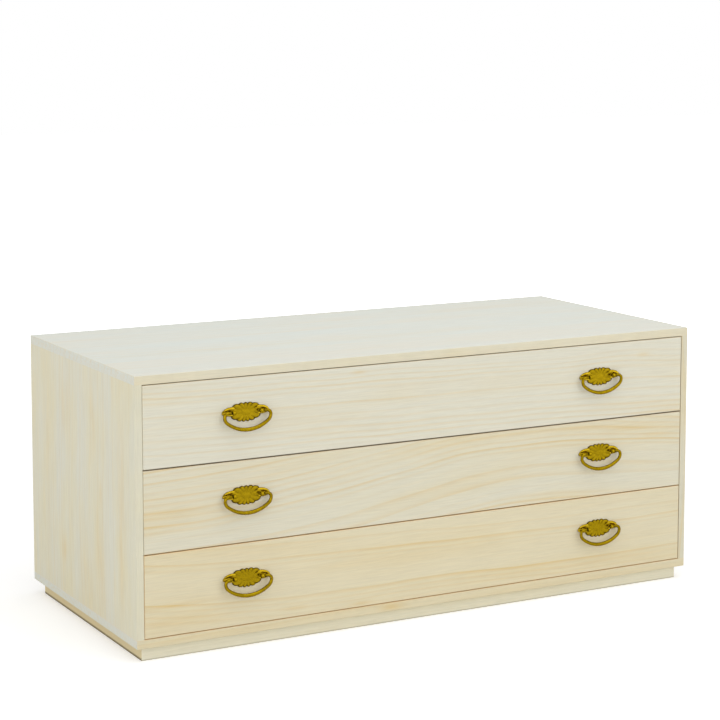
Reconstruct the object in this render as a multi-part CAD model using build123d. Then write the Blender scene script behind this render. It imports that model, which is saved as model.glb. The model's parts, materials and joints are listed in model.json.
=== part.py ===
from build123d import *
import os
from math import atan2, ceil, cos, degrees, hypot, pi, radians, sin, sqrt, tan

# Low kimono chest in paulownia: three full-width drawers on a recessed plinth, with brass bail pulls.
# X runs along the chest, the drawers open towards -Y, +Z is up, and the origin is on the floor under
# the middle of the case. Sizes are in millimetres.

# Case
case_length = 965.0
case_depth = 430.0
case_height = 395.5  # without the plinth
top_thickness = 13.2  # of the top and bottom boards
side_thickness = 11.2  # of the side boards
arris = 0.8  # small bevel planed on the edges that a hand meets
housing_depth = 5.0  # how far a side board's tongue goes into the top and bottom boards
tongue = 5.6  # thickness of that tongue, on the side board's inner half
housing_stop = 18.0  # the housing ends this far behind the front edge, so it can't be seen
tongue_end_gap = 0.3  # glue room at the end of a tongue
back_panel_thickness = 6.0
back_rebate = 6.0  # how far the back panel laps over the boards round it

# Plinth
plinth_height = 20.5
plinth_thickness = 18.0
plinth_inset_side = 11.0
plinth_inset_front = 11.0
plinth_inset_back = 18.0
bearer_width = 30.0
plinth_peg = 4.0  # square section
plinth_peg_length = 25.0
plinth_peg_recess = 1.0  # its lower end stays this far off the floor
plinth_peg_spacing = 400.0

# Drawers
drawer_names = ("lower", "middle", "upper")
front_thickness = 18.0
reveal = 1.5  # gap over each drawer front
side_reveal = 0.9  # gap at each end of a drawer front
front_lift = 0.9  # a front's lower edge above its drawer's sides, which slide over the front below
drawer_side = 10.0  # thickness of a drawer's sides
drawer_back = 10.0
finger_depth = 10.0  # how far a side's fingers go into the drawer front
finger_count = 5  # along the height of a drawer's side, counting fingers and notches
headroom = 1.5  # between a drawer's sides and what is over them
back_clearance = 6.0  # between a closed drawer and the back panel
bottom_thickness = 6.0
bottom_rise = 4.0  # drawer bottom above the lower edge of the sides
bottom_groove = 4.0
drawer_peg = 3.0  # square section
drawer_peg_length = 18.0

# Dividers between the drawers, and the strips over the top drawer
divider = 9.0  # thickness
divider_groove = 4.0  # how far a divider goes into each side board
divider_setback = 0.3  # between a closed drawer front and the rails behind it
rail_width = 36.0
runner_width = 40.0
dust_panel = 3.0
dust_groove = 8.0
dust_panel_play = 0.5  # at each edge of the panel
kicker_width = 30.0

# Pulls: a cast plate of petals with a leaf at each end, two eye posts and a bail
pull_inset = 160.4  # plate's centre from the end of the drawer front
pull_rise = 9.0  # plate's centre above the middle of the drawer front
plate_half_width = 24.7
plate_half_height = 14.2
plate_fullness = 2.6  # of the line round the petals' tips: 2 is an ellipse, more is fuller
plate_thickness = 2.0
petal_count = 13
petal_depth = 1.7  # from a petal's tip to the valley beside it
crease_width = 1.1
crease_depth = 0.7
crease_start = 0.42  # where a crease starts, as a share of the way from the centre to the edge
button_radius = 2.8  # of the flower's centre
button_height = 1.0
button_sides = 8
leaf_length = 13.5  # past the petals
leaf_stem = 7.7  # how far a leaf starts inside the petals' edge
leaf_top = 8.8  # above the plate's centre, where a leaf starts
leaf_bottom = 4.6  # and below it
leaf_top_bulge = 3.0
leaf_bottom_bulge = 1.0
leaf_tip_radius = 3.0
leaf_tip_turn = 45.0  # degrees of that round on each side of the point
pivot_rise = 1.5  # bail's pivot above the plate's centre
pivot_reach = 8.0  # bail's pivot in front of the drawer front
post_spacing = 44.0
eye_radius = 3.1
eye_width = 4.4
eye_clearance = 0.08  # round the bail's pivot, on the radius
leg_width = 3.0
leg_thickness = 1.2
leg_split = 0.2  # between a post's two legs
leg_length = 9.0  # of the end that is bent flat behind the drawer front
leg_clearance = 0.1
bail_half_width = 36.4  # to the middle of the bar
bail_drop = 26.0  # pivot to the middle of the bar at the bottom
bail_bottom_radius = 52.0
bail_side_radius = 11.0
pin_radius = 1.62
bail_bar = 2.7  # half the bar's thickness
bail_bar_sides = 8  # the bar is filed to eight flats
bail_step = 24.0  # degrees that the bar turns from one filed length to the next
neck_bar = 1.8  # half the thickness that the bar tapers to beside each eye
neck_gap = 0.3  # between that and the eye
pin_overhang = 1.0  # past the inner face of each eye

# Levels and faces that follow from those
half_length = case_length / 2
half_depth = case_depth / 2
front_face = -half_depth
inner_half = half_length - side_thickness
inside_floor = plinth_height + top_thickness
case_top = plinth_height + case_height
inside_top = case_top - top_thickness
pitch = (inside_top - inside_floor - front_lift) / len(drawer_names)
front_height = pitch - reveal
back_inner = half_depth - back_panel_thickness
box_height = pitch - divider - headroom
front_half = inner_half - side_reveal
pull_half = front_half - pull_inset
front_back_face = front_face + front_thickness
rail_front = front_back_face + divider_setback
box_back = back_inner - back_clearance
finger = box_height / finger_count
side_inner = front_half - drawer_side

os.makedirs("parts", exist_ok=True)


def block(x0, x1, y0, y1, z0, z1):
    """A box between two corners."""
    middle = ((x0 + x1) / 2, (y0 + y1) / 2, (z0 + z1) / 2)
    return Pos(*middle) * Box(x1 - x0, y1 - y0, z1 - z0)


def sided(side, x0, x1, y0, y1, z0, z1):
    """A box given for the right-hand side, or its mirror on the left."""
    if side > 0:
        return block(x0, x1, y0, y1, z0, z1)
    return block(-x1, -x0, y0, y1, z0, z1)


def save(name, shape):
    export_step(shape, f"parts/{name}.step")


# ---------------------------------------------------------------------------
# Case: two long boards over and under two upright side boards, with a thin back let into a rebate
# ---------------------------------------------------------------------------
def housings(z0, z1):
    """The two stopped grooves that take the tongues of the side boards."""
    cut = []
    for side in (-1, 1):
        outer = inner_half + tongue
        cut.append(sided(side, inner_half, outer, front_face + housing_stop, back_inner, z0, z1))
    return cut


def back_panel_box():
    reach = inner_half + back_rebate
    low = inside_floor - back_rebate
    high = inside_top + back_rebate
    return block(-reach, reach, back_inner, half_depth, low, high)


def long_board(z0, z1, inner_face, outward):
    """The top or the bottom board. outward is +1 where its outer face looks up."""
    shape = block(-half_length, half_length, -half_depth, half_depth, z0, z1)
    levels = shape.edges().group_by(Axis.Z)
    shape = chamfer(levels[-1] if outward > 0 else levels[0], arris)
    depth = inner_face + outward * housing_depth
    shape -= housings(min(inner_face, depth), max(inner_face, depth))
    return shape - back_panel_box()


top_board = long_board(inside_top, case_top, inside_top, 1)
bottom_board = long_board(plinth_height, inside_floor, inside_floor, -1)


def runner_levels():
    """The height at which each drawer slides, from the bottom one up."""
    return [inside_floor + k * pitch for k in range(len(drawer_names))]


def side_board(side):
    shape = sided(side, inner_half, half_length, -half_depth, half_depth, inside_floor, inside_top)
    shape += sided(
        side,
        inner_half,
        inner_half + tongue,
        front_face + housing_stop,
        back_inner,
        inside_floor - housing_depth + tongue_end_gap,
        inside_top + housing_depth - tongue_end_gap,
    )
    shape -= back_panel_box()
    for level in runner_levels()[1:]:
        groove = (inner_half, inner_half + divider_groove, rail_front, back_inner)
        shape -= sided(side, *groove, level - divider, level)
    return shape


save("back_panel", back_panel_box())
save("left_side_board", side_board(-1))
save("right_side_board", side_board(1))


# ---------------------------------------------------------------------------
# Plinth: a mitred frame set back under the case, with a bearer across the middle, glued and pegged
# ---------------------------------------------------------------------------
plinth_half = half_length - plinth_inset_side
plinth_front_face = front_face + plinth_inset_front
plinth_back_face = half_depth - plinth_inset_back


def flat_prism(points, z0, z1):
    outline = make_face(Polyline(*points, close=True))
    return extrude(Pos(0, 0, z0) * outline, z1 - z0)


def plinth_member(outer_face, inward):
    """The front or back board of the plinth, with its ends cut at 45 degrees."""
    inner = outer_face + inward * plinth_thickness
    inner_end = plinth_half - plinth_thickness
    points = [
        (-plinth_half, outer_face),
        (plinth_half, outer_face),
        (inner_end, inner),
        (-inner_end, inner),
    ]
    return flat_prism(points, 0, plinth_height)


def plinth_end(side):
    inner = plinth_half - plinth_thickness
    points = [
        (side * plinth_half, plinth_front_face),
        (side * plinth_half, plinth_back_face),
        (side * inner, plinth_back_face - plinth_thickness),
        (side * inner, plinth_front_face + plinth_thickness),
    ]
    return flat_prism(points, 0, plinth_height)


def plinth_peg_places():
    """Where the plinth's pegs stand: three along each long board and one in each end."""
    places = []
    for y in (plinth_front_face + plinth_thickness / 2, plinth_back_face - plinth_thickness / 2):
        places += [(x * plinth_peg_spacing, y) for x in (-1, 0, 1)]
    middle = (plinth_front_face + plinth_back_face) / 2
    places += [(x * (plinth_half - plinth_thickness / 2), middle) for x in (-1, 1)]
    return places


def peg_standing(x, y):
    half = plinth_peg / 2
    top = plinth_peg_recess + plinth_peg_length
    return block(x - half, x + half, y - half, y + half, plinth_peg_recess, top)


def peg_hole_standing(x, y):
    half = plinth_peg / 2
    return block(x - half, x + half, y - half, y + half, 0, plinth_peg_recess + plinth_peg_length)


plinth_pegs = [peg_standing(*place) for place in plinth_peg_places()]
plinth_holes = [peg_hole_standing(*place) for place in plinth_peg_places()]
bearer = block(
    -bearer_width / 2,
    bearer_width / 2,
    plinth_front_face + plinth_thickness,
    plinth_back_face - plinth_thickness,
    0,
    plinth_height,
)
save("top_board", top_board)
save("bottom_board", bottom_board - plinth_holes)
save("plinth_front", plinth_member(plinth_front_face, 1) - plinth_holes)
save("plinth_back", plinth_member(plinth_back_face, -1) - plinth_holes)
save("plinth_left", plinth_end(-1) - plinth_holes)
save("plinth_right", plinth_end(1) - plinth_holes)
save("plinth_bearer", bearer)
save("plinth_pegs", Compound(children=plinth_pegs))


# ---------------------------------------------------------------------------
# Dividers: frames of two rails and two runners round a thin dust panel, let into the side boards
# ---------------------------------------------------------------------------
frame_half = inner_half + divider_groove


def divider_frame(name, level):
    low = level - divider
    groove_low = low + (divider - dust_panel) / 2
    groove_high = groove_low + dust_panel
    front_inner = rail_front + rail_width
    back_inner_edge = back_inner - rail_width
    runner_inner = frame_half - runner_width
    hollow = block(
        -runner_inner - dust_groove,
        runner_inner + dust_groove,
        front_inner - dust_groove,
        back_inner_edge + dust_groove,
        groove_low,
        groove_high,
    )
    rail_groove = block(
        -frame_half,
        frame_half,
        front_inner - dust_groove,
        back_inner_edge + dust_groove,
        groove_low,
        groove_high,
    )
    front_rail = block(-frame_half, frame_half, rail_front, front_inner, low, level)
    back_rail = block(-frame_half, frame_half, back_inner_edge, back_inner, low, level)
    save(f"{name}_front_rail", front_rail - rail_groove)
    save(f"{name}_back_rail", back_rail - rail_groove)
    for side, word in ((-1, "left"), (1, "right")):
        runner = sided(side, runner_inner, frame_half, front_inner, back_inner_edge, low, level)
        runner += sided(
            side,
            runner_inner + dust_groove,
            frame_half,
            front_inner - dust_groove,
            back_inner_edge + dust_groove,
            groove_low,
            groove_high,
        )
        save(f"{name}_{word}_runner", runner - hollow)
    play = dust_panel_play
    panel = block(
        -runner_inner - dust_groove + play,
        runner_inner + dust_groove - play,
        front_inner - dust_groove + play,
        back_inner_edge + dust_groove - play,
        groove_low,
        groove_high,
    )
    save(f"{name}_dust_panel", panel)


for divider_name, divider_level in zip(("lower_divider", "upper_divider"), runner_levels()[1:]):
    divider_frame(divider_name, divider_level)

kicker_low = runner_levels()[-1] + box_height + headroom
for kicker_side, kicker_word in ((-1, "left"), (1, "right")):
    kicker = sided(
        kicker_side,
        inner_half - kicker_width,
        inner_half,
        rail_front,
        back_inner,
        kicker_low,
        inside_top,
    )
    save(f"{kicker_word}_kicker", kicker)


# ---------------------------------------------------------------------------
# Pulls, drawn with the plate's centre at the origin and the plate's back on the plane y = 0
# ---------------------------------------------------------------------------
upright = Plane(origin=(0, 0, 0), x_dir=(1, 0, 0), z_dir=(0, -1, 0))


def on_plate(half_turns, inset):
    """A point so many half petals round from the top, this far inside the line of the petals' tips."""
    angle = half_turns * pi / petal_count
    across = abs(sin(angle)) / plate_half_width
    up = abs(cos(angle)) / plate_half_height
    reach = (across**plate_fullness + up**plate_fullness) ** (-1 / plate_fullness) - inset
    return (reach * sin(angle), reach * cos(angle))


def petal_tips():
    return [on_plate(2 * k, 0) for k in range(petal_count)]


def petal_valleys():
    return [on_plate(2 * k + 1, petal_depth) for k in range(petal_count)]


def leaf_outline(side):
    """The leaf beside the petals: two long arcs that meet in a small round tip."""
    root = plate_half_width - leaf_stem
    reach = plate_half_width + leaf_length
    turn = radians(leaf_tip_turn)
    shoulder = reach - leaf_tip_radius * (1 - cos(turn))
    rise = leaf_tip_radius * sin(turn)
    upper = SagittaArc((root, leaf_top), (shoulder, rise), leaf_top_bulge)
    tip = ThreePointArc((shoulder, rise), (reach, 0), (shoulder, -rise))
    lower = SagittaArc((shoulder, -rise), (root, -leaf_bottom), leaf_bottom_bulge)
    stem = Line((root, -leaf_bottom), (root, leaf_top))
    face = make_face([upper, tip, lower, stem])
    return face if side > 0 else mirror(face, Plane.YZ)


def plate_outline():
    tips = petal_tips()
    valleys = petal_valleys()
    arcs = [ThreePointArc(valleys[k - 1], tips[k], valleys[k]) for k in range(petal_count)]
    outline = Sketch() + make_face(arcs)
    for side in (-1, 1):
        outline += leaf_outline(side)
    return outline


def creases():
    """V cuts between neighbouring petals, from part of the way out to past the valley."""
    corners = [(-crease_width / 2, 0), (crease_width / 2, 0), (0, -crease_depth)]
    section = make_face(Polyline(*corners, close=True))
    cuts = []
    for x, z in petal_valleys():
        reach = hypot(x, z)
        start = crease_start * reach
        bar = extrude(Plane.YZ * section, reach + petal_depth - start)
        cuts.append(Rot(0, 0, degrees(atan2(z, x))) * Pos(start, 0, plate_thickness) * bar)
    return cuts


def leg_places():
    return [(side * post_spacing / 2, pivot_rise) for side in (-1, 1)]


def make_plate():
    flat = extrude(plate_outline(), plate_thickness)
    flat -= creases()
    button = extrude(RegularPolygon(button_radius, button_sides), button_height)
    flat += Pos(0, 0, plate_thickness) * button
    for x, z in leg_places():
        flat -= Pos(x, z) * leg_hole(plate_thickness * 3)
    return upright * flat


def leg_hole(depth):
    """The slot that both legs of a post pass through, centred on its own origin."""
    height = 2 * leg_thickness + leg_split + 2 * leg_clearance
    return Box(leg_width + 2 * leg_clearance, height, depth)


def post_leg(up):
    """One leg: straight through the plate and the drawer front, then bent flat behind it."""
    root = pivot_reach - plate_thickness
    inner_face = pivot_reach + front_thickness
    near = leg_split / 2
    far = near + leg_thickness
    outline = Polyline(
        (root, near),
        (root, far),
        (inner_face, far),
        (inner_face, near + leg_length),
        (inner_face + leg_thickness, near + leg_length),
        (inner_face + leg_thickness, near),
        close=True,
    )
    leg = Pos(-leg_width / 2, 0, 0) * extrude(Plane.YZ * make_face(outline), leg_width)
    return leg if up > 0 else mirror(leg, Plane.XY)


def make_post(x, z):
    """An eye on a neck as deep as itself, with two legs that hold it to the drawer front."""
    root = pivot_reach - plate_thickness
    flat = eye_radius * tan(pi / 8)
    outline = Polyline(
        (root, eye_radius),
        (-flat, eye_radius),
        (-eye_radius, flat),
        (-eye_radius, -flat),
        (-flat, -eye_radius),
        (root, -eye_radius),
        close=True,
    )
    face = make_face(outline) - Circle(pin_radius + eye_clearance)
    shape = Pos(-eye_width / 2, 0, 0) * extrude(Plane.YZ * face, eye_width)
    shape += [post_leg(1), post_leg(-1)]
    return Pos(x, -pivot_reach, z) * shape


def bar_section(x, half_thickness):
    """The bar's outline across it where it runs along X, with flats to the front and the back."""
    corner = half_thickness / cos(pi / bail_bar_sides)
    octagon = Rot(0, 0, 180 / bail_bar_sides) * RegularPolygon(corner, bail_bar_sides)
    return Plane(origin=(x, 0, 0), x_dir=(0, 1, 0), z_dir=(-1, 0, 0)) * octagon


def turning(path):
    """Degrees that a path turns from its start to its end."""
    return (path % 0).get_angle(path % 1)


def bail_arcs():
    """The right half of the bar's middle line: a bend down, a tight flank and the flat bottom."""
    bottom_centre = bail_bottom_radius - bail_drop
    across = bail_half_width - bail_side_radius
    down = sqrt((bail_bottom_radius - bail_side_radius) ** 2 - across**2)
    side_level = bottom_centre - down
    shoulder = -side_level
    shoulder_centre = bail_half_width - shoulder
    diagonal = shoulder * sqrt(0.5)
    shoulder_mid = (shoulder_centre + diagonal, 0, side_level + diagonal)
    angle = atan2(-down, across)
    join = (bail_bottom_radius * cos(angle), 0, bottom_centre + bail_bottom_radius * sin(angle))
    side_mid = (
        across + bail_side_radius * cos(angle / 2),
        0,
        side_level + bail_side_radius * sin(angle / 2),
    )
    bottom_angle = (angle - pi / 2) / 2
    bottom_mid = (
        bail_bottom_radius * cos(bottom_angle),
        0,
        bottom_centre + bail_bottom_radius * sin(bottom_angle),
    )
    bend = ThreePointArc((shoulder_centre, 0, 0), shoulder_mid, (bail_half_width, 0, side_level))
    flank = ThreePointArc((bail_half_width, 0, side_level), side_mid, join)
    base = ThreePointArc(join, bottom_mid, (0, 0, -bail_drop))
    return [bend, flank, base]


def bail_line():
    """Points along the bar from its right-hand neck to its left-hand one."""
    arcs = bail_arcs()
    bend_start = (arcs[0] @ 0).X
    neck_start = post_spacing / 2 + eye_width / 2 + neck_gap
    half = [Vector((neck_start + bend_start) / 2, 0, 0), Vector(bend_start, 0, 0)]
    for arc in arcs:
        steps = ceil(turning(arc) / bail_step)
        half += [arc @ (k / steps) for k in range(1, steps + 1)]
    return half + [Vector(-p.X, 0, p.Z) for p in reversed(half[:-1])]


def bail_pin(neck_end):
    """A round pin in its eye, and the neck that tapers from the bar down to it."""
    start = post_spacing / 2 - eye_width / 2 - pin_overhang
    neck_start = post_spacing / 2 + eye_width / 2 + neck_gap
    taper = degrees(atan2(bail_bar - neck_bar, neck_end - neck_start))
    neck = extrude(bar_section(neck_end, bail_bar), neck_end - neck_start, taper=taper)
    pin = extrude(Plane(origin=(start, 0, 0), z_dir=(1, 0, 0)) * Circle(pin_radius), neck_start - start)
    return pin + neck


def make_bail():
    line = bail_line()
    neck_end = line[0].X
    section = bar_section(neck_end, bail_bar)
    bar = sweep(section, path=Polyline(*line), transition=Transition.RIGHT)
    pin = bail_pin(neck_end)
    return Pos(0, -pivot_reach, pivot_rise) * (bar + pin + mirror(pin, Plane.YZ))


plate = make_plate()
bail = make_bail()
post_pair = [make_post(*place) for place in leg_places()]


# ---------------------------------------------------------------------------
# Drawers: fingers lock the sides into the front and the back, and the bottom lies in grooves
# ---------------------------------------------------------------------------
def fingers(first):
    """Low and high edges, above the drawer's own level, of every second finger from the first."""
    return [(k * finger, (k + 1) * finger) for k in range(first, finger_count, 2)]


def peg_levels():
    """Pegs go through the fingers of a side that stand clear of the drawer's bottom."""
    return [(low + high) / 2 for low, high in fingers(0)[1:]]


def drawer_pegs(level):
    """Pegs through the sides into the drawer front, which takes the pull."""
    pegs = []
    half = drawer_peg / 2
    y = front_back_face - finger_depth / 2
    for side in (-1, 1):
        for z in peg_levels():
            reach = (front_half - drawer_peg_length, front_half, y - half, y + half)
            pegs.append(sided(side, *reach, level + z - half, level + z + half))
    return pegs


def bottom_box(level):
    return block(
        -side_inner - bottom_groove,
        side_inner + bottom_groove,
        front_back_face - bottom_groove,
        box_back - drawer_back + bottom_groove,
        level + bottom_rise,
        level + bottom_rise + bottom_thickness,
    )


def drawer(name, level):
    low = level + front_lift
    high = low + front_height
    front = block(-front_half, front_half, front_face, front_back_face, low, high)
    front = chamfer(front.edges().group_by(Axis.Y)[0], arris)
    back = block(
        -front_half, front_half, box_back - drawer_back, box_back, level, level + box_height
    )
    pegs = drawer_pegs(level)
    for side, word in ((-1, "left"), (1, "right")):
        start = front_back_face - finger_depth
        board_side = sided(
            side, side_inner, front_half, start, box_back, level, level + box_height
        )
        for bottom, top in fingers(1):
            z0, z1 = level + bottom, level + top
            board_side -= sided(side, side_inner, front_half, start, front_back_face, z0, z1)
            board_side -= sided(
                side, side_inner, front_half, box_back - drawer_back, box_back, z0, z1
            )
        for bottom, top in fingers(0):
            z0, z1 = level + bottom, level + top
            front -= sided(side, side_inner, front_half, start, front_back_face, z0, z1)
            back -= sided(side, side_inner, front_half, box_back - drawer_back, box_back, z0, z1)
        board_side -= bottom_box(level)
        board_side -= pegs
        save(f"{name}_drawer_{word}_side", board_side)
    centre = (low + high) / 2 + pull_rise
    for side, word in ((-1, "left"), (1, "right")):
        place = Pos(side * pull_half, front_face, centre)
        for x, z in leg_places():
            slot = upright * Pos(x, z) * leg_hole(3 * front_thickness)
            front -= place * slot
        save(f"{name}_{word}_pull_plate", place * plate)
        save(f"{name}_{word}_bail", place * bail)
        save(f"{name}_{word}_eye_posts", Compound(children=[place * post for post in post_pair]))
    save(f"{name}_drawer_front", front - bottom_box(level) - pegs)
    save(f"{name}_drawer_back", back - bottom_box(level))
    save(f"{name}_drawer_bottom", bottom_box(level))
    save(f"{name}_drawer_pegs", Compound(children=pegs))


for drawer_name, drawer_level in zip(drawer_names, runner_levels()):
    drawer(drawer_name, drawer_level)
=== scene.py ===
import json
from math import radians

import bpy
import numpy as np
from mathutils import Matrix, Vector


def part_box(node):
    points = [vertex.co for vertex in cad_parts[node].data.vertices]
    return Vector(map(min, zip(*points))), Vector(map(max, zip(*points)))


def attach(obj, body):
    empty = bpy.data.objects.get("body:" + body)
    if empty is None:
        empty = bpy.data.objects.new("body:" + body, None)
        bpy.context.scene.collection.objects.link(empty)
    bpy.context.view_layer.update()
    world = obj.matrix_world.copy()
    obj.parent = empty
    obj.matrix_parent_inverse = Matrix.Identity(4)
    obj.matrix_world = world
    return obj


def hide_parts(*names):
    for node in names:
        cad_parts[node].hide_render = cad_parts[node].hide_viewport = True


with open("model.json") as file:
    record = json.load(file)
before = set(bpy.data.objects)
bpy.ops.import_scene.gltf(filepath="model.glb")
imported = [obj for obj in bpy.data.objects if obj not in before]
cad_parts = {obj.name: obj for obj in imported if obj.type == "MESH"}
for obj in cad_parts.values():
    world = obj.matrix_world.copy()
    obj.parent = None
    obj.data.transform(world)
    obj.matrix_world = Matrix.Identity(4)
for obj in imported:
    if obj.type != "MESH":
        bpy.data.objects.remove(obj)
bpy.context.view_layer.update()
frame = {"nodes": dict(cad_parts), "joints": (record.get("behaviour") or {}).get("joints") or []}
nodes = frame["nodes"]
mm = 0.001

# ---------------------------------------------------------------------------
# Camera
# A long lens stands over three metres off, in front to the left and higher than the chest, and
# looks slightly down. The frame is shifted, so that upright edges stay nearly parallel.
# ---------------------------------------------------------------------------
view_turn = 28.42  # degrees to the right of straight on
view_tilt = 6.25  # degrees downwards

camera = bpy.data.objects.new("view", bpy.data.cameras.new("view"))
camera.data.sensor_width = 36.0
camera.data.lens = 104.8
camera.data.shift_y = -0.1667
camera.data.clip_end = 100.0
camera.location = (-1.586, -2.921, 0.927)
camera.rotation_euler = (radians(90 - view_tilt), 0, radians(-view_turn))
bpy.context.scene.collection.objects.link(camera)
bpy.context.scene.camera = camera

# ---------------------------------------------------------------------------
# Studio
# A white floor runs into a white room. Soft light falls from everywhere, and three large soft
# boxes shape the chest: one overhead, one in front to the right and a smaller one to the left.
# ---------------------------------------------------------------------------
floor_half = 12.0
near_glow = 0.40  # light that only the camera sees, so that the lit floor round the chest is white
far_glow = 1.0  # and the same far off, where the lamps no longer reach
glow_grows = (0.9, 3.2)  # from the one to the other, between these distances in metres
floor_paint = (0.80, 0.80, 0.80)
room_light = 0.56

scene = bpy.context.scene
scene.view_settings.view_transform = "Standard"


def new_mesh(name, points, faces):
    """A smooth mesh object from rows of points and blocks of faces, with its place in its mesh."""
    mesh = bpy.data.meshes.new(name)
    mesh.from_pydata(points.tolist(), [], [face for block in faces for face in block.tolist()])
    mesh.polygons.foreach_set("use_smooth", np.ones(len(mesh.polygons), bool))
    mesh.update()
    piece = bpy.data.objects.new(name, mesh)
    scene.collection.objects.link(piece)
    return piece


class Wiring:
    """Adds nodes to one node tree and wires them, so that a pattern reads as its formula."""

    def __init__(self, tree):
        self.tree = tree

    def add(self, kind, **settings):
        node = self.tree.nodes.new("ShaderNode" + kind)
        for setting, value in settings.items():
            setattr(node, setting, value)
        return node

    def feed(self, socket, value):
        if isinstance(value, bpy.types.NodeSocket):
            self.tree.links.new(value, socket)
        else:
            socket.default_value = value

    def fed(self, node, *values):
        for socket, value in zip(node.inputs, values):
            self.feed(socket, value)
        return node.outputs[0]

    def maths(self, operation, *values):
        return self.fed(self.add("Math", operation=operation), *values)

    def plus(self, total, *others):
        for other in others:
            total = self.maths("ADD", total, other)
        return total

    def minus(self, first, second):
        return self.maths("SUBTRACT", first, second)

    def times(self, product, *others):
        for other in others:
            product = self.maths("MULTIPLY", product, other)
        return product

    def point(self, x, y, z):
        return self.fed(self.add("CombineXYZ"), x, y, z)

    def split(self, vector):
        node = self.add("SeparateXYZ")
        self.feed(node.inputs[0], vector)
        return node.outputs

    def random(self, number):
        """A value from 0 to 1 that is the same for the same number."""
        node = self.add("TexWhiteNoise", noise_dimensions="1D")
        self.feed(node.inputs["W"], number)
        return node.outputs["Value"]

    def noise(self, vector, detail=2.0, rough=0.5, scale=1.0):
        """Cloudy noise from 0 to 1, with the scale as its number of cells per unit."""
        node = self.add("TexNoise")
        values = {"Scale": scale, "Detail": detail, "Roughness": rough, "Vector": vector}
        for socket, value in values.items():
            self.feed(node.inputs[socket], value)
        return node.outputs["Fac"]

    def ramp(self, value, stops):
        node = self.add("ValToRGB")
        elements = node.color_ramp.elements
        while len(elements) < len(stops):
            elements.new(0.5)
        for element, (place, grey) in zip(elements, stops):
            element.position = place
            element.color = (grey, grey, grey, 1)
        self.feed(node.inputs["Fac"], value)
        return node.outputs["Color"]

    def blend(self, factor, first, second):
        node = self.add("Mix", data_type="RGBA")
        self.feed(node.inputs["Factor"], factor)
        self.feed(node.inputs["A"], (*first, 1) if isinstance(first, tuple) else first)
        self.feed(node.inputs["B"], (*second, 1) if isinstance(second, tuple) else second)
        return node.outputs["Result"]

    def bell(self, value, middle, width):
        """1 at the middle and falling off smoothly to either side."""
        away = self.maths("DIVIDE", self.minus(value, middle), width)
        return self.maths("EXPONENT", self.times(away, away, -1.0))

    def bump(self, shader, height, strength, depth):
        node = self.add("Bump")
        for socket, value in {"Strength": strength, "Distance": depth, "Height": height}.items():
            self.feed(node.inputs[socket], value)
        self.feed(shader.inputs["Normal"], node.outputs["Normal"])


def studio_white(w, shader, glow):
    """Mixes a shader with a plain white glow for camera, mirror and glass rays only."""
    rays = w.add("LightPath").outputs
    seen = w.maths("MAXIMUM", rays["Is Camera Ray"], rays["Is Glossy Ray"])
    seen = w.maths("MAXIMUM", seen, rays["Is Transmission Ray"])
    return w.fed(w.add("MixShader"), seen, shader, glow)


floor_white = bpy.data.materials.new("floor_white")
floor_white.use_nodes = True
w = Wiring(floor_white.node_tree)
w.tree.nodes.clear()
paint = w.fed(w.add("BsdfDiffuse"), (*floor_paint, 1))
far = w.add("VectorMath", operation="LENGTH")
w.feed(far.inputs[0], w.add("TexCoord").outputs["Object"])
reach = w.add("MapRange", interpolation_type="SMOOTHSTEP")
growing = w.fed(reach, far.outputs["Value"], *glow_grows, near_glow, far_glow)
glow = w.add("Emission")
w.feed(glow.inputs["Strength"], growing)
lit = w.fed(w.add("AddShader"), paint, glow.outputs[0])
w.feed(w.add("OutputMaterial").inputs["Surface"], studio_white(w, paint, lit))

corners = floor_half * np.array([(-1, -1, 0), (1, -1, 0), (1, 1, 0), (-1, 1, 0)])
floor = new_mesh("floor", corners, [np.array([(0, 1, 2, 3)])])
floor.data.materials.append(floor_white)

scene.world = bpy.data.worlds.new("room")
scene.world.use_nodes = True
w = Wiring(scene.world.node_tree)
w.tree.nodes.clear()
ambient, white = (w.fed(w.add("Background"), (1, 1, 1, 1), light) for light in (room_light, 1.0))
w.feed(w.add("OutputWorld").inputs["Surface"], studio_white(w, ambient, white))


def soft_box(name, power, width, place, aim):
    """A square area lamp that faces the point it is aimed at."""
    lamp = bpy.data.lights.new(name, "AREA")
    lamp.energy = power
    lamp.size = width
    box = bpy.data.objects.new(name, lamp)
    box.location = place
    x, y, z = np.array(aim) - np.array(place)
    box.rotation_euler = (np.arctan2(np.hypot(x, y), -z), 0, np.arctan2(-x, y))
    scene.collection.objects.link(box)


chest_middle = (0.0, 0.0, 0.2)
soft_box("overhead", 26.0, 2.6, (0.2, -0.4, 3.0), chest_middle)
soft_box("front_right", 41.5, 4.0, (1.7, -2.9, 2.2), chest_middle)
soft_box("left", 22.0, 2.2, (-3.0, -1.2, 1.3), chest_middle)

# ---------------------------------------------------------------------------
# Paulownia
# The whole chest is of this very pale, soft wood, planed and left bare. Growth rings run through
# each board as they do in a log, so its face, edge and end all cut the same rings.
# ---------------------------------------------------------------------------
X, Y, Z = 0, 1, 2
front_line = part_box("upper_drawer_front")[0][Y]
pale_wood = (0.770, 0.700, 0.500)
cool_wood = (0.745, 0.715, 0.575)
tan_wood = (0.725, 0.535, 0.225)
end_wood = (0.722, 0.735, 0.655)
gap_depth = 4.0 * mm  # how far the painted shade and light of a gap reach back into the gap, at least
gap_cover = (0.75, 0.95)  # how much of the wood the painted colour hides there, at its palest and its brownest
one_ring = (  # share of a ring's width, how brown the wood is there
    (0.00, 0.50),
    (0.10, 0.16),
    (0.30, 0.00),
    (0.52, 0.10),
    (0.74, 0.62),
    (0.88, 1.00),
    (1.00, 0.50),
)
ring_wander = 0.030  # how far a ring strays sideways
ring_loose = 1.6  # by how many rings' widths their spacing strays from an even one
ring_stain, cloud_stain = 1.30, 0.30
cloud_warmth = 2.2
strip_shift, strip_warmth = 0.4, 0.7  # how unlike a board's strips are in figure and in tone
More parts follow.
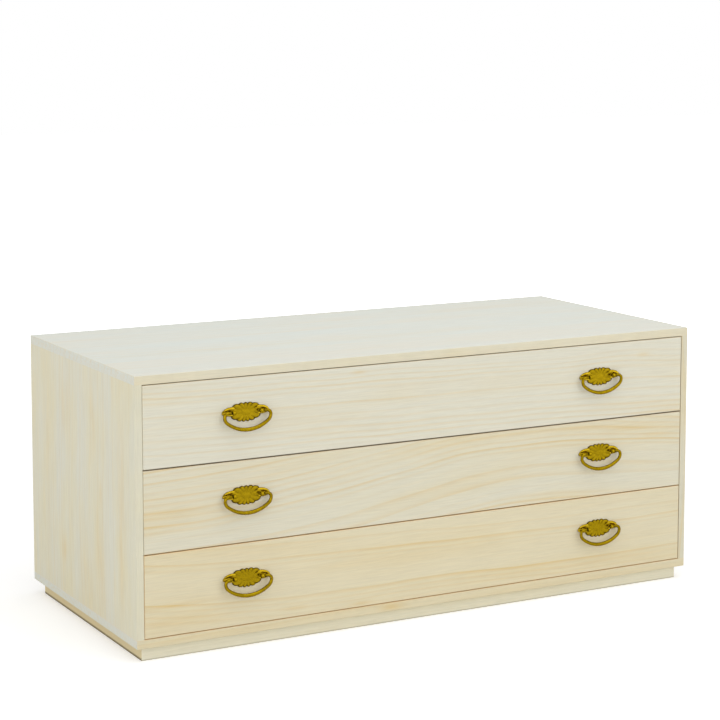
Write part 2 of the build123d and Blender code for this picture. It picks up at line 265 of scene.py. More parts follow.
# How often each pattern comes round, along and across the fibres, in a metre
loose_rate = (0.8, 0.45)  # the second in a ring's width
wander_rate = (2.4, 7.0)
fade_rate = (3.0, 14.0)
torn_rate = (9.0, 120.0)
fibre_rate = (34.0, 1300.0)
dash_rate = (16.0, 330.0)
end_pore_rate = (160.0, 260.0)  # across and through, on the end grain
darkest = 0.875  # how bright the wood is between its fibres, and what each of these adds
fibre_gain = 0.07
dash_gain = 0.16
# The wood is painted paler in a spot behind each bail, a painted light against its shadow: how
# much, and the spot's size across and along.
clean_gain = 0.09
clean_width, clean_length = 0.017, 0.034
wood_roughness = 0.52
grain_strength, grain_height = 0.35, 0.05 * mm


def paulownia(
    name,
    along,
    across,
    heart=(0.0, 0.25),
    ring=0.011,
    hump=(0.0, 0.0, 0.4),
    slope=0.0,
    patch=(1.8, 16.0),
    strip=0.0,
    strength=1.0,
    warmth=0.5,
    streaks=(),
    pales=(),
    gaps=(),
    clean=(),
    tones=(cool_wood, pale_wood),
    face_sheen_tones=None,
    seed=0.0,
):
    """Wood whose fibres run along one axis, with its heart at a place across and through the board.

    A ring is a circle about the heart: its number is the distance from the heart over the ring's
    width. Along the board the heart rises by a slope and a bell-shaped hump, given by its height,
    middle and width, and wanders a little. A line pales where its ring lies flat in the face.
    Boards glued up from strips start again from another heart in each strip. Streaks are long
    bells of tan and pales of cooler wood, each with its middle and width across and along and its
    strength. Gaps are edges painted with a gap's shade and bounced light: axis, place, way out,
    reach inwards, colour, how brown. The faces inside a gap are painted in its colour too, as
    painted shade and light, to a few millimetres behind the fronts. The paler spots are a painted
    light behind the bails, against their shadow, each with its place along and across. The face
    tones are the tones of the board's broad faces, where a painted sheen makes them differ from its
    edges.
    """
    material = bpy.data.materials.new(name)
    material.use_nodes = True
    w = Wiring(material.node_tree)
    shader = w.tree.nodes["Principled BSDF"]
    place = w.add("TexCoord").outputs
    spot, facing = w.split(place["Object"]), w.split(place["Normal"])
    through = ({X, Y, Z} - {along, across}).pop()
    a, b, c = (spot[axis] for axis in (along, across, through))

    def at_rate(rate, third):
        return w.point(w.times(a, rate[0]), w.times(b, rate[1]), third)

    def faces(axis, start=0.6, end=0.8):
        """1 on the faces that look along an axis."""
        return w.ramp(w.maths("ABSOLUTE", facing[axis]), [(start, 0.0), (end, 1.0)])

    def oval(middle, width, place_along, length):
        """1 at one spot of the board, falling off smoothly across and along."""
        return w.times(w.bell(b, middle, width), w.bell(a, place_along, length))

    b_own = b
    if strip:
        number = w.maths("FLOOR", w.maths("DIVIDE", w.plus(b, seed), strip))
        own = w.random(w.plus(number, seed))
        b_own = w.plus(b, w.times(own, strip_shift))

    drift = w.point(w.times(a, wander_rate[0]), w.times(b_own, wander_rate[1]), w.plus(c, seed))
    wander = w.times(w.minus(w.noise(drift), 0.5), ring_wander)
    rise = w.times(w.bell(a, hump[1], hump[2]), hump[0])
    lifted = w.minus(w.minus(b_own, rise), w.times(a, slope))
    side = w.minus(w.plus(lifted, wander), heart[0])
    deep = w.minus(c, heart[1])
    radius = w.maths("SQRT", w.plus(w.times(side, side), w.times(deep, deep)))
    even = w.maths("DIVIDE", radius, ring)
    loose = w.point(w.times(even, loose_rate[1]), seed, w.times(a, loose_rate[0]))
    count = w.plus(even, w.times(w.noise(loose, 1.0), ring_loose))
    part = w.maths("FRACT", count)
    late = w.ramp(part, one_ring)
    year = w.maths("POWER", w.random(w.maths("FLOOR", count)), 1.5)
    fade = w.ramp(w.noise(at_rate(fade_rate, seed)), [(0.30, 0.40), (0.65, 1.0)])
    flatness = w.maths("DIVIDE", w.maths("ABSOLUTE", side), radius)
    steep = w.ramp(flatness, [(0.05, 0.12), (0.55, 1.0)])
    line = w.times(late, year, fade, steep)

    drawn_out = w.point(w.times(a, patch[0]), w.times(lifted, patch[1]), w.plus(c, seed))
    cloud = w.noise(drawn_out, 3.0, 0.6)
    warm = w.plus(w.times(w.minus(cloud, 0.5), cloud_warmth), warmth)
    for *where, strong in pales:
        warm = w.minus(warm, w.times(oval(*where), strong))
    if strip:
        warm = w.plus(warm, w.times(w.minus(own, 0.5), strip_warmth))
    ground = w.blend(warm, *tones)
    # The broad faces may be painted in tones of their own, a painted sheen.
    if face_sheen_tones:
        ground = w.blend(faces(through), ground, w.blend(warm, *face_sheen_tones))

    golden = w.times(w.ramp(cloud, [(0.50, 0.0), (0.80, 1.0)]), cloud_stain * strength)
    stain = w.plus(w.times(line, ring_stain * strength), golden)
    if streaks:
        torn = w.ramp(w.noise(at_rate(torn_rate, seed)), [(0.25, 0.2), (0.65, 1.0)])
        stain = w.plus(stain, *(w.times(oval(*where), torn, strong) for *where, strong in streaks))
    stained = w.blend(stain, ground, tan_wood)

    hair = w.noise(at_rate(fibre_rate, w.times(c, fibre_rate[1])), 2.0, 0.6)
    hair = w.ramp(hair, [(0.30, 0.0), (0.62, 1.0)])
    dash = w.noise(at_rate(dash_rate, seed), 3.0, 0.7)
    shade = w.plus(w.times(hair, fibre_gain), w.times(dash, dash_gain))
    # Paler spots behind the bails, a painted light against the shadow of bail and plate.
    for place_along, middle in clean:
        painted_light_spot = oval(middle, clean_width, place_along, clean_length)
        shade = w.plus(shade, w.times(painted_light_spot, clean_gain))
    grained = w.add("HueSaturation")
    w.feed(grained.inputs["Color"], stained)
    w.feed(grained.inputs["Value"], w.plus(shade, darkest))

    pores = w.point(w.times(b, end_pore_rate[0]), w.times(c, end_pore_rate[1]), seed)
    pores = w.plus(w.noise(pores, 4.0, 0.8), w.times(late, 0.12))
    end_grain = w.blend(w.ramp(pores, [(0.45, 0.0), (0.80, 0.35)]), end_wood, tan_wood)
    finished = w.blend(faces(along, 0.75, 0.85), grained.outputs["Color"], end_grain)

    # Painted shade and light at each gap: a darker lip on the face, a painted shade, and the faces
    # inside the gap painted in its colour, a painted shade where dark and a painted bounced light
    # where pale.
    for axis, edge, outwards, reach, colour, brown in gaps:
        inside = w.times(w.minus(edge, spot[axis]), outwards / reach)
        wall = faces(axis)
        lip_shade = w.ramp(inside, [(0.0, 1.0), (0.60, 0.9), (1.0, 0.0)])
        lip_shade = w.times(lip_shade, brown, w.minus(1.0, wall))
        most = gap_cover[0] + (gap_cover[1] - gap_cover[0]) * brown
        shallow = w.maths("DIVIDE", w.minus(spot[Y], front_line), (1 + brown) * gap_depth)
        shallow = w.ramp(shallow, [(0.0, most), (0.7 * brown, most), (1.0, 0.0)])
        wall = w.times(wall, shallow, w.ramp(inside, [(0.2, 1.0), (0.4, 0.0)]))
        finished = w.blend(w.maths("MAXIMUM", lip_shade, wall), finished, colour)

    w.feed(shader.inputs["Base Color"], finished)
    shader.inputs["Roughness"].default_value = wood_roughness
    w.bump(shader, w.plus(hair, w.times(part, 0.6)), grain_strength, grain_height)
    return material


def dress(material, *names):
    """Gives CAD nodes one material in place of the plain one that they came with."""
    for name in names:
        nodes[name].data.materials.clear()
        nodes[name].data.materials.append(material)


# ---------------------------------------------------------------------------
# Case
# Four boards and a thin back let in between them. The sides stand between the top and the bottom,
# whose end grain shows as two pale bands. Top, right side and back are glued up from strips.
# ---------------------------------------------------------------------------
# Colours painted at and inside the gaps, in place of their shade and bounced light: the dark ones
# are a painted shade, the pale ones painted light.
gap_tan = (0.920, 0.620, 0.290)
gap_gold = (0.960, 0.740, 0.430)
gap_pale = (0.950, 0.890, 0.720)
gap_reach = 1.0 * mm  # how far a gap's painted shade reaches over the board's face


def gap_edge(board, axis, end, colour, brown):
    """The edge of a board at a gap, painted with the gap's shade and light. The end is 0 for its
    low edge, 1 for its high one.
    """
    return (axis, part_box(board)[end][axis], (-1, 1)[end], gap_reach, colour, brown)


dress(
    paulownia(
        "top_wood", X, Y, heart=(-0.6, 0.2), ring=0.016, strip=0.143, patch=(5.0, 20.0),
        strength=0.12, warmth=0.5,
        streaks=(
            (-0.052, 0.012, -0.30, 0.16, 0.22),
            (-0.062, 0.012, 0.10, 0.25, 0.12),
            (0.137, 0.014, 0.32, 0.14, 0.22),
        ),
        # The broad faces are painted cooler, greyer and darker than the edges, a painted sheen of
        # the white room.
        face_sheen_tones=((0.672, 0.700, 0.640), (0.700, 0.690, 0.600)),
        gaps=(gap_edge("top_board", Z, 0, gap_gold, 0.0),),
        seed=3.1,
    ),
    "top_board",
)
dress(
    paulownia(
        "bottom_wood", X, Z, heart=(-0.12, 0.1), ring=0.007, slope=0.01, strength=0.5, warmth=0.7,
        streaks=((0.026, 0.007, -0.068, 0.022, 0.75),),
        tones=((0.745, 0.690, 0.500), (0.765, 0.665, 0.430)),
        gaps=(gap_edge("bottom_board", Z, 1, gap_tan, 0.2),),
        seed=7.7,
    ),
    "bottom_board",
)
dress(
    paulownia(
        "left_side_wood", Z, Y, heart=(0.055, -0.49), ring=0.010, hump=(0.01, 0.15, 0.15),
        patch=(7.0, 22.0), strength=0.20,
        streaks=(
            (-0.160, 0.014, 0.21, 0.14, 0.42),
            (-0.050, 0.010, 0.33, 0.05, 0.40),
            (-0.078, 0.020, 0.10, 0.08, 0.38),
            (-0.080, 0.005, 0.22, 0.02, 0.50),
            (0.075, 0.010, 0.10, 0.02, 0.45),
            (0.145, 0.014, 0.25, 0.16, 0.20),
            (0.062, 0.022, 0.33, 0.05, 0.28),
            (-0.020, 0.030, 0.08, 0.06, 0.20),
        ),
        pales=(
            (-0.115, 0.014, 0.22, 0.20, 1.0),
            (0.095, 0.020, 0.25, 0.10, 0.6),
            (0.000, 0.018, 0.30, 0.12, 0.6),
        ),
        tones=((0.738, 0.718, 0.585), (0.766, 0.708, 0.488)),
        gaps=(gap_edge("left_side_board", X, 1, gap_pale, 0.0),),
        seed=5.3,
    ),
    "left_side_board",
)
dress(
    paulownia(
        "right_side_wood", Z, Y, heart=(0.02, 0.35), ring=0.009, hump=(-0.03, 0.2, 0.2),
        strip=0.092, patch=(5.0, 20.0), strength=0.4,
        tones=((0.70, 0.67, 0.53), (0.72, 0.655, 0.465)),
        seed=9.4,
    ),
    "right_side_board",
)
dress(
    paulownia("back_wood", X, Z, heart=(0.1, 0.5), ring=0.014, strip=0.13, strength=0.5, seed=12.6),
    "back_panel",
)

# ---------------------------------------------------------------------------
# Plinth
# A mitred frame of four members and a bearer, set back under the case. Its pegs are of a harder,
# browner wood, driven in from below. The foot of the frame is painted dark, a painted contact
# shadow along the floor.
# ---------------------------------------------------------------------------
# A painted contact shadow darkens the frame's foot along the floor, most on the short members.
foot_shadow_brown = (0.160, 0.115, 0.042)
# The long members are painted paler than the case, a painted light against the shade under its
# overhang; the short members are browner.
plinth_tones = {
    X: ((0.89, 0.86, 0.70), (0.90, 0.85, 0.65)),
    Y: ((0.76, 0.67, 0.42), (0.74, 0.61, 0.33)),
}
for name, along, through, reach, foot_shade, members in (
    ("plinth_long_wood", X, 0.1, 2.0 * mm, 0.45, ("plinth_front", "plinth_back")),
    ("plinth_short_wood", Y, 0.2, 4.0 * mm, 0.95, ("plinth_left", "plinth_right", "plinth_bearer")),
):
    foot_shadow = ((Z, 0.0, -1, reach, foot_shadow_brown, foot_shade),)
    dress(
        paulownia(
            name, along, Z, heart=(0.15, through), ring=0.006, warmth=0.8, strength=0.5,
            tones=plinth_tones[along], gaps=foot_shadow, seed=21.0,
        ),
        *members,
    )
peg_wood = paulownia(
    "peg_wood", Z, X, heart=(0.1, 0.1), ring=0.003, strength=2.2, warmth=1.0, seed=31.0
)
dress(peg_wood, "plinth_pegs")

# ---------------------------------------------------------------------------
# Dividers
# Rails and runners round a thin dust panel, let into grooves of the side boards. Two strips under
# the top board keep the upper drawer from tipping. All are of the same bare wood.
# ---------------------------------------------------------------------------
rail_wood = paulownia("rail_wood", X, Y, heart=(0.2, 0.4), ring=0.009, warmth=0.6, seed=41.0)
runner_wood = paulownia("runner_wood", Y, X, heart=(0.2, 0.4), ring=0.008, warmth=0.7, seed=43.0)
panel_wood = paulownia("dust_panel_wood", X, Y, heart=(0.1, 0.6), ring=0.012, strip=0.12, seed=47.0)
for level in ("lower", "upper"):
    dress(rail_wood, f"{level}_divider_front_rail", f"{level}_divider_back_rail")
    dress(runner_wood, f"{level}_divider_left_runner", f"{level}_divider_right_runner")
    dress(panel_wood, f"{level}_divider_dust_panel")
dress(runner_wood, "left_kicker", "right_kicker")

# ---------------------------------------------------------------------------
# Drawers
# Boxes of the same wood, locked by fingers at the corners. Each front is one wide board with its
# own figure: nearly straight on the upper drawer, over one long hump on the middle one, and
# falling from the left on the lower one.
# ---------------------------------------------------------------------------
golden_wood = (0.775, 0.690, 0.470)
gap_umber = (0.680, 0.450, 0.210)
gap_dark = (0.130, 0.070, 0.028)
painted_light_drop = 0.014  # from a bail's axis down to the paler spot painted behind it, a painted light against its shadow
front_looks = {
    "upper": dict(
        heart=(-0.35, 0.10), ring=0.0085, slope=-0.02, strength=0.46, warmth=0.20,
        tones=((0.765, 0.740, 0.610), (0.775, 0.715, 0.530)),
        streaks=((0.392, 0.003, -0.123, 0.012, 0.4), (0.379, 0.004, 0.395, 0.012, 0.3)),
        pales=((0.350, 0.10, 0.05, 0.30, 0.40),),
        seed=51.0,
    ),
    "middle": dict(
        heart=(0.160, -0.240), ring=0.0088, slope=0.03, hump=(0.045, 0.17, 0.28),
        strength=0.66, warmth=0.58,
        streaks=(
            (0.268, 0.004, 0.30, 0.05, 0.25),
            (0.260, 0.005, 0.36, 0.05, 0.25),
            (0.246, 0.005, 0.42, 0.04, 0.25),
            (0.214, 0.004, -0.43, 0.06, 0.40),
        ),
        pales=((0.200, 0.06, 0.15, 0.30, 0.30), (0.200, 0.07, -0.35, 0.20, 0.35)),
        seed=55.0,
    ),
    "lower": dict(
        heart=(-0.25, -0.10), ring=0.0090, slope=-0.006, hump=(0.030, -0.62, 0.22),
        strength=0.62, warmth=0.55, tones=(pale_wood, golden_wood),
        streaks=(
            (0.095, 0.014, -0.02, 0.28, 0.16),
            (0.048, 0.003, -0.230, 0.020, 0.50),
            (0.041, 0.003, -0.118, 0.018, 0.50),
            (0.050, 0.012, -0.430, 0.07, 0.30),
            (0.078, 0.004, -0.420, 0.07, 0.30),
            (0.070, 0.035, -0.450, 0.14, 0.16),
            (0.052, 0.012, 0.250, 0.30, 0.16),
        ),
        pales=((0.110, 0.06, 0.48, 0.22, 0.9),),
        seed=58.0,
    ),
}
front_ends = ((X, 0), (X, 1), (Z, 0), (Z, 1))
front_gaps = {  # painted shade and light at the left, right, lower and upper edge: colour, and how brown it is
    "upper": ((gap_pale, 0.0), (gap_tan, 0.1), (gap_dark, 1.0), (gap_gold, 0.2)),
    "middle": ((gap_pale, 0.0), (gap_tan, 0.3), (gap_tan, 0.4), (gap_umber, 0.35)),
    "lower": ((gap_tan, 0.6), (gap_tan, 0.6), (gap_tan, 0.5), (gap_tan, 0.4)),
}
side_wood = paulownia("drawer_side_wood", Y, Z, heart=(0.3, 0.2), ring=0.009, warmth=0.6, seed=61.0)
back_wood = paulownia("drawer_back_wood", X, Z, heart=(0.3, 0.5), ring=0.010, warmth=0.6, seed=63.0)
base_wood = paulownia(
    "drawer_bottom_wood", X, Y, heart=(0.5, 0.3), ring=0.012, strip=0.11, seed=65.0
)
for drawer, looks in front_looks.items():
    front = f"{drawer}_drawer_front"
    looks["gaps"] = [
        gap_edge(front, *end, *stain) for end, stain in zip(front_ends, front_gaps[drawer])
    ]
    # A paler spot below each bail's axis, a painted light against its shadow.
    looks["clean"] = [
        (joint["pos_m"][X], joint["pos_m"][Z] - painted_light_drop)
        for joint in frame["joints"]
        if joint["name"].startswith(drawer) and joint["type"] == "hinge"
    ]
    dress(paulownia(f"{drawer}_front_wood", X, Z, **looks), front)
    dress(side_wood, f"{drawer}_drawer_left_side", f"{drawer}_drawer_right_side")
    dress(back_wood, f"{drawer}_drawer_back")
    dress(base_wood, f"{drawer}_drawer_bottom")
    dress(peg_wood, f"{drawer}_drawer_pegs")

# ---------------------------------------------------------------------------
# Pull plates
# Each plate is one brass casting: a flower of thirteen petals between two leaves. A groove is
# chased between the petals and round the boss, and every hollow is left dark. The rims of flower
# and leaves are painted dark, a painted shade, and the leaves are painted paler, a painted light
# against the shadow of the bail's necks.
# ---------------------------------------------------------------------------
petals = 13
petal_steps = 20
petal_depth = 1.7
flower_half_width = 25.6
flower_half_height = (14.5, 13.9)  # above and below the middle
flower_fullness = (2.8, 2.2)
boss_edge, rim_start = 0.31, 0.90  # dark lines, at shares of the way to the edge: patina in the groove round the boss, painted shade at the rim
flower_template = (  # share of the way to the edge, height, how far the groove between petals sinks
    (0.05, 2.20, 0.00),
    (0.13, 2.18, 0.00),
    (0.20, 2.10, 0.00),
    (0.25, 2.00, 0.01),
    (0.30, 1.92, 0.03),
    (0.35, 1.94, 0.09),
    (0.42, 2.04, 0.16),
    (0.50, 2.16, 0.25),
    (0.58, 2.24, 0.35),
    (0.66, 2.32, 0.46),
    (0.74, 2.38, 0.58),
    (0.81, 2.38, 0.68),
    (0.87, 2.30, 0.84),
    (0.92, 2.10, 0.92),
    (0.96, 1.74, 0.82),
    (0.985, 1.30, 0.56),
    (1.00, 0.90, 0.25),
    (1.00, 0.30, 0.00),
    (0.98, 0.00, 0.00),
    (0.60, 0.00, 0.00),
    (0.20, 0.00, 0.00),
)
leaf_root, leaf_reach = 17.0, 38.2
leaf_top, leaf_bottom = 9.2, 4.6
leaf_steps = 40
fold_rise = 2.5
leaf_veins, vein_lean, vein_height = 8, 2.4, 0.11
leaf_painted_light = 0.45  # how far the leaves are painted paler, a painted light against the necks' shadow, on the scale of the darkening
leaf_template = (  # share of the way from the midrib to the edge, height
    (0.00, 1.15),
    (0.06, 1.26),
    (0.14, 1.40),
    (0.28, 1.54),
    (0.46, 1.64),
    (0.64, 1.70),
    (0.80, 1.68),
    (0.90, 1.52),
    (0.97, 1.16),
    (1.00, 0.75),
    (1.00, 0.25),
    (0.97, 0.00),
)


def skin(rings, patina_and_painted_light, loop=False):
    """Points, faces and darkening of a closed skin over rows of rings, its faces outwards.

    Each ring joins the next, and each end is drawn in to a point at its ring's middle, or the last
    ring joins the first. Where the volume inside comes out negative, every face is turned round.
    """
    rows, around = rings.shape[:2]
    number = np.arange(rows * around).reshape(rows, around)
    follow = np.roll(number, -1, axis=1)
    if loop:
        number, follow = np.vstack([number, number[:1]]), np.vstack([follow, follow[:1]])
    quads = np.stack([number[:-1], follow[:-1], follow[1:], number[1:]], -1).reshape(-1, 4)
    points, caps = rings.reshape(-1, 3), np.empty((0, 3), int)
    patina_and_painted_light = np.broadcast_to(patina_and_painted_light, (rows, around)).reshape(-1)
    if not loop:
        first, last = rows * around, rows * around + 1
        points = np.vstack([points, rings[0].mean(0), rings[-1].mean(0)])
        patina_and_painted_light = np.append(patina_and_painted_light, [patina_and_painted_light[:around].mean(), patina_and_painted_light[-around:].mean()])
        near = np.stack([follow[0], number[0], np.full(around, first)], -1)
        far = np.stack([number[-1], follow[-1], np.full(around, last)], -1)
        caps = np.vstack([near, far])
    halves = np.vstack([quads[:, :3], quads[:, [0, 2, 3]], caps])
    a, b, c = (points[halves[:, k]] for k in range(3))
    if np.sum(a * np.cross(b, c)) < 0:
        quads, caps = quads[:, ::-1], caps[:, ::-1]
    return points, quads, caps, patina_and_painted_light


def brass_piece(name, skins, place, body, *replaced):
    """One object of several closed skins, drawn in millimetres and moved to its place in metres."""
    points, quads, caps, patinas_and_painted_lights = zip(*skins)
    starts = np.cumsum([0] + [len(part) for part in points])
    faces = [part + start for *both, start in zip(quads, caps, starts) for part in both]
    piece = new_mesh(name, np.vstack(points) * mm + place, faces)
    patina_and_painted_light = piece.data.attributes.new("patina_and_painted_light", "FLOAT", "POINT")
    patina_and_painted_light.data.foreach_set("value", np.concatenate(patinas_and_painted_lights).astype(np.float32))
    piece.data.materials.append(brass)
    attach(piece, body)
    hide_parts(*replaced)


def flower_skin():
    """The flower: a template of heights from the middle to the edge, turned round a full oval.

    The oval is the curve on which the shares of its half width and half height, each raised to
    the fullness, add up to one. Its petals stand at equal angles, one straight up. A petal's swell
    is the cosine of its share of the turn, without its sign. The outline is drawn in by the petal
    depth times one less the swell, and so much of the groove's depth comes off the height.
    """
    steps = petals * petal_steps
    turn = 2 * np.pi * np.arange(steps) / steps
    swell = np.abs(np.cos(0.5 * petals * turn)) ** 0.9
    fullness = np.where(np.cos(turn) > 0, *flower_fullness)
    across = np.abs(np.sin(turn)) / flower_half_width
    up = np.abs(np.cos(turn)) / np.where(np.cos(turn) > 0, *flower_half_height)
    reach = (across**fullness + up**fullness) ** (-1 / fullness) - petal_depth * (1 - swell)
    share, height, groove = (column[:, None] for column in np.array(flower_template).T)
    high = height - groove * (1 - swell)
    rings = np.stack([share * reach * np.sin(turn), -high, share * reach * np.cos(turn)], -1)
    round_boss = np.exp(-(((share - boss_edge) / 0.05) ** 2))
    rim = np.clip((share - rim_start) / 0.08, 0, 1)
    between = np.clip(groove, 0, 1) * (1 - swell) ** 2
    # Patina round the boss and in the grooves between petals; the rim is painted dark, a painted
    # shade.
    return skin(rings, 0.12 * round_boss + 0.85 * rim + 0.7 * between)


def leaf_skin(side):
    """A leaf: rings across it from the stem, which the petals cover, out to its tip.

    Its edges close in by powers of the share of its length, and its midrib is a fold. The height is
    a template from fold to edge, with ripples for the side veins that lean towards the tip.
    """
    share = np.sin(np.linspace(0, 0.5 * np.pi, leaf_steps))[:-1, None]
    out = np.array(leaf_template)
    across = np.concatenate([out[::-1, 0] * -1, out[1:, 0]])[None, :]
    height = np.concatenate([out[::-1, 1], out[1:, 1]])[None, :]
    top = leaf_top * (1 - share**3) ** 0.6
    bottom = -leaf_bottom * (1 - share**3) ** 0.6
    fold = fold_rise * (1 - share)
    z = fold + np.where(across > 0, across * (top - fold), across * (fold - bottom))
    part_way = np.sin(np.pi * np.clip(np.abs(across), 0, 1)) ** 2
    vein = np.cos(2 * np.pi * (leaf_veins * share - vein_lean * np.abs(across)))
    high = height * (1 - 0.25 * share**6) + vein_height * part_way * vein
    x = side * (leaf_root + (leaf_reach - leaf_root) * share) + 0 * z
    midrib = np.exp(-((across / 0.10) ** 2))
    edge = np.clip((np.abs(across) - 0.86) / 0.10, 0, 1)
    # Darker along the midrib and in the vein troughs; the edge is painted dark, a painted shade,
    # and the whole leaf is painted paler, a painted light against the shadow of the bail's necks.
    dark = 0.55 * midrib + 0.7 * edge + 0.10 * part_way * (vein < -0.3) - leaf_painted_light
    return skin(np.stack([x, -high, z], -1), dark)


# The paler of these is painted light on the leaves, against the shadow of the bail's necks; the
# brown is patina in recesses and painted shade at the rims and on the bail.
brass_olive = (0.290, 0.195, 0.004)
brass_painted_light = (0.580, 0.400, 0.018)
brass_brown = (0.065, 0.040, 0.003)
brass_tint = (0.55, 0.42, 0.10)
brass_smooth, brass_dull = 0.24, 0.25  # roughness of the face, and what a hollow adds to it
cloud_rate, grain_rate = 260.0, 1400.0  # how often they come round in a metre


def brass_metal():
    """Brass with a golden olive face, painted paler on the leaves, a painted light against the
    shadow of the bail's necks, and brown and dull where darkened: patina in recesses, painted shade
    at the rims and on the bail.
    """
    material = bpy.data.materials.new("brass")
    material.use_nodes = True
    w = Wiring(material.node_tree)
    shader = w.tree.nodes["Principled BSDF"]
    place = w.add("TexCoord").outputs["Object"]
    patina_and_painted_light = w.add("Attribute", attribute_name="patina_and_painted_light").outputs["Fac"]
    cloud = w.noise(place, 3.0, 0.6, cloud_rate)
    depth = w.plus(patina_and_painted_light, w.times(w.minus(cloud, 0.45), 0.9))
    darkened = w.ramp(depth, [(0.05, 0.0), (0.85, 1.0)])
    painted_light = w.ramp(w.times(depth, -1.0), [(0.05, 0.0), (0.50, 1.0)])
    face = w.blend(painted_light, brass_olive, brass_painted_light)
    w.feed(shader.inputs["Base Color"], w.blend(darkened, face, brass_brown))
    w.feed(shader.inputs["Roughness"], w.plus(w.times(darkened, brass_dull), brass_smooth))
    shader.inputs["Metallic"].default_value = 1.0
    shader.inputs["Specular Tint"].default_value = (*brass_tint, 1)
    w.bump(shader, w.noise(place, scale=grain_rate), 0.25, 0.08 * mm)
    return material


brass = brass_metal()
pull_places = {  # the middle of each bail's axis
    joint["name"].removesuffix("_bail_hinge"): np.array(joint["pos_m"])
    for joint in frame["joints"]
    if joint["name"].endswith("_bail_hinge")
}
axis_height = 1.5  # above the plate's middle
axis_reach = 8.0  # in front of the drawer
plate_offset = np.array((0, axis_reach, -axis_height)) * mm
for pull, place in pull_places.items():
    drawer = pull.split("_")[0] + "_drawer"
    skins = [flower_skin(), leaf_skin(-1), leaf_skin(1)]
    middle = place + plate_offset
    brass_piece(f"{pull}_flower_and_leaves", skins, middle, drawer, f"{pull}_pull_plate")

# ---------------------------------------------------------------------------
# Eye posts
# Two to a pull, of cast brass: an eye on a round neck with a collar that sits on the plate. Two
# flat legs go through plate and drawer front and are bent apart and flat behind it.
# ---------------------------------------------------------------------------
eye_spacing = 44.0
eye_radius = 3.1
eye_hole = 1.7
eye_half_width = 2.2
eye_steps = 48
neck_template = (  # distance in front of the drawer, half width, half height
    (5.90, 1.70, 1.80),
    (5.30, 1.80, 2.20),
    (4.70, 1.75, 2.15),
    (4.20, 1.60, 1.85),
    (3.75, 1.60, 1.80),
    (3.45, 1.85, 2.05),
    (3.35, 2.35, 2.60),
    (3.10, 2.70, 2.95),
    (2.75, 2.80, 3.05),
    (2.45, 2.75, 3.00),
    (0.60, 2.60, 2.85),
)
leg_half_width = 1.5
leg_half_thickness = 0.6
leg_middle = 0.7  # of a leg's thickness, from the post's middle
front_board = 18.0
leg_bend = 0.9  # radius of the middle of a leg where it bends
leg_start = 1.0  # in front of the board
leg_end = 9.1  # end of a leg from the post's middle
leg_point = ((2.5, 1.0), (1.0, 0.85), (0.0, 0.45))  # before the leg's end, share of its width


def rounded(half_width, half_height, power, steps):
    """A ring of points on a rounded oblong: sine and cosine, each raised to a power below 1."""
    turn = 2 * np.pi * (np.arange(steps) + 0.5) / steps
    ways = ((half_width, np.cos(turn)), (half_height, np.sin(turn)))
    return (half * np.sign(way) * np.abs(way) ** power for half, way in ways)


def eye_skin(x):
    """The eye: a rounded oblong turned round the bail's axis, a little fuller in the middle."""
    turn = 2 * np.pi * np.arange(eye_steps)[:, None] / eye_steps
    along, out = rounded(eye_half_width, (eye_radius - eye_hole) / 2, 0.45, 24)
    radius = (eye_radius + eye_hole) / 2 + out
    inside = np.clip((eye_hole + 0.35 - radius) / 0.3, 0, 1)
    end = np.clip((np.abs(along) - eye_half_width + 0.3) / 0.3, 0, 1)
    rings = np.stack([x + along + 0 * turn, radius * np.cos(turn), radius * np.sin(turn)], -1)
    return skin(rings, (inside + 0.35 * end)[None, :], loop=True)


def neck_skin(x):
    """The neck and collar: rounded oblongs whose size follows a template from eye to plate."""
    front, half_x, half_z = (column[:, None] for column in np.array(neck_template).T)
    across, up = rounded(1.0, 1.0, 0.75, 32)
    rings = np.stack([x + half_x * across, axis_reach - front + 0 * across, half_z * up], -1)
    return skin(rings, 0.8 * np.exp(-(((front - 3.7) / 0.5) ** 2)))


def leg_skin(x, side):
    """A leg: a flat bar straight back through the board, a quarter turn, and a pointed end."""
    bend = np.linspace(0, 0.5 * np.pi, 9)
    back = axis_reach + front_board + leg_half_thickness
    before_end, narrow = np.array(leg_point).T
    straight = [axis_reach - leg_start, axis_reach + front_board / 2]
    y = np.concatenate([straight, back - leg_bend + leg_bend * np.sin(bend), [back] * 3])
    z = np.concatenate([[0, 0], leg_bend * (1 - np.cos(bend))]) + leg_middle
    z = np.concatenate([z, leg_end - before_end])[:, None]
    lean = np.concatenate([[0, 0], bend, [0.5 * np.pi] * 3])[:, None]
    wide = np.concatenate([[1.0] * 11, narrow])[:, None]
    across, thick = rounded(leg_half_width, leg_half_thickness, 0.5, 20)
    out = y[:, None] + thick * np.sin(lean)
    rings = np.stack([x + wide * across, out, side * (z - thick * np.cos(lean))], -1)
    return skin(rings, 0.45)


for pull, place in pull_places.items():
    drawer = pull.split("_")[0] + "_drawer"
    posts = []
    for x in (-eye_spacing / 2, eye_spacing / 2):
        posts += [eye_skin(x), neck_skin(x), leg_skin(x, 1), leg_skin(x, -1)]
    brass_piece(f"{pull}_eyes", posts, place, drawer, f"{pull}_eye_posts")

# ---------------------------------------------------------------------------
# Bails
# A bail is a brass bar filed to eight flats, thickest at the bottom, and bent to a shallow bow. Its
# ends are drawn down to round pins that turn in the eyes.
# ---------------------------------------------------------------------------
bar_half = 2.2  # half the bar's thickness at the shoulders
bottom_half = 2.75
neck_half = 1.7
pin_radius = 1.62
neck_start, neck_end = 24.5, 27.4  # from the bail's middle
straight_template = (  # distance from the bail's middle, half the bar's thickness there
    (18.80, 0.7 * pin_radius),
    (18.95, 0.9 * pin_radius),
    (19.20, pin_radius),
    (22.00, pin_radius),
    (24.47, pin_radius),
    (neck_start, neck_half),
    (neck_end, bar_half),
)
bow_half_width = 36.8
bow_drop = 26.0
bow_bottom_radius = 52.0
bow_side_radius = 11.0


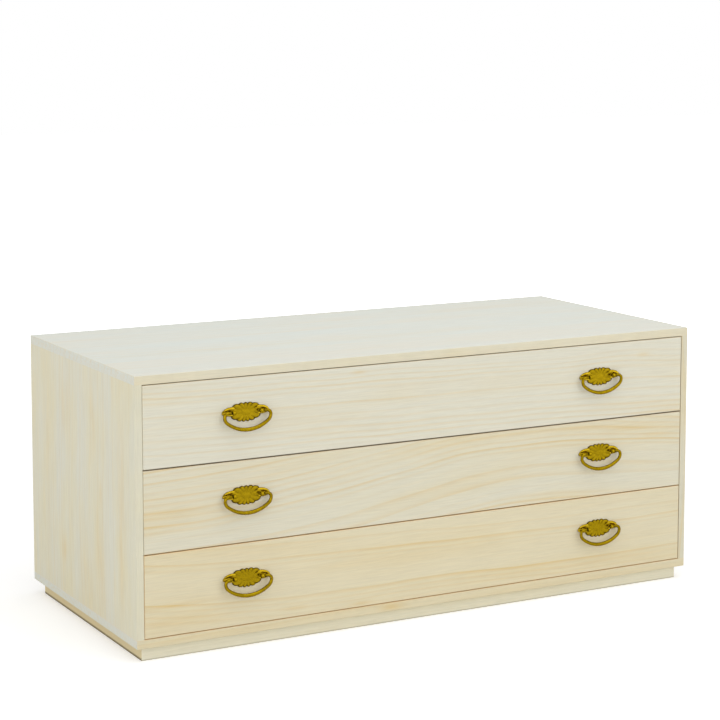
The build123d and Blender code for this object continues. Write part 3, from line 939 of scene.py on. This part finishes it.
def bail_path():
    """Half of the bar's middle line, from pin to bottom, as x, z and the direction it runs in.

    A straight neck goes over into three arcs that share their directions where they meet: a bend
    down, a tight flank, and the wide bottom whose middle is straight above the lowest point.
    """
    middle_height = bow_bottom_radius - bow_drop
    flank_x = bow_half_width - bow_side_radius
    flank_z = middle_height - np.sqrt((bow_bottom_radius - bow_side_radius) ** 2 - flank_x**2)
    meet = np.arctan2(flank_z - middle_height, flank_x)
    straight = np.array(straight_template)[:, 0]
    arcs = (  # middle, radius, first and last angle, steps
        (bow_half_width + flank_z, flank_z, -flank_z, 0.5 * np.pi, 0.0, 16),
        (flank_x, flank_z, bow_side_radius, 0.0, meet, 16),
        (0.0, middle_height, bow_bottom_radius, meet, -0.5 * np.pi, 24),
    )
    x, z, run = [straight], [0 * straight], [0 * straight]
    for number, (middle_x, middle_z, radius, start, stop, steps) in enumerate(arcs):
        turn = np.linspace(start, stop, steps + 1)[min(number, 1) :]
        x.append(middle_x + radius * np.cos(turn))
        z.append(middle_z + radius * np.sin(turn))
        run.append(turn - 0.5 * np.pi)
    return (np.concatenate(part) for part in (x, z, run))


def bail_skin():
    """The whole bail: an eight-sided ring carried along the line and mirrored at the bottom.

    The distance from the line to a flat is the half thickness. Off the flat's middle it grows by
    one over the cosine, up to where the corner is eased. Towards the pins the flats fade to a
    round, and towards the bottom the half thickness grows by a power of the drop.
    """
    x, z, run = bail_path()
    x = np.concatenate([x, -x[-2::-1]])[:, None]
    z = np.concatenate([z, z[-2::-1]])[:, None]
    run = np.concatenate([run, -2 * np.pi - run[-2::-1]])[:, None]
    off = np.radians([-20.0, -12.0, 0.0, 12.0, 20.0])
    turn = (np.arange(8)[:, None] * 0.25 * np.pi + off).reshape(-1)
    flat = np.tile(1 / np.cos(off), 8)
    reach = np.abs(x)
    straight = np.abs(z) < 1e-9
    drawn_down = np.interp(reach, *np.array(straight_template).T)
    swollen = bar_half + (bottom_half - bar_half) * (np.abs(z) / bow_drop) ** 1.5
    filed = np.clip((reach - neck_start) / (neck_end - neck_start), 0, 1)
    filed = np.where(straight, filed, 1.0)
    radius = np.where(straight, drawn_down, swollen) * (1 + filed * (flat - 1))
    level, out = radius * np.cos(turn), radius * np.sin(turn)
    rings = np.stack([x - level * np.sin(run), out, z + level * np.cos(run)], -1)
    # Painted shade at the eased corners between the flats, and a painted reflection of the plate on
    # the inner side; the bail is also darker along its necks, and most at the step to the pins.
    corner = np.tile(np.abs(off) > 0.3, 8)[None, :]
    inner = np.clip(-np.cos(turn), 0, 1)[None, :]
    dark = 0.06 + 0.22 * corner + 0.14 * inner + 0.22 * straight
    dark = dark + 0.5 * np.exp(-(((reach - neck_start) / 1.6) ** 2)) * straight
    return skin(rings, np.clip(dark, 0, 1))


for pull, place in pull_places.items():
    brass_piece(f"{pull}_bow", [bail_skin()], place, f"{pull}_bail_swing", f"{pull}_bail")
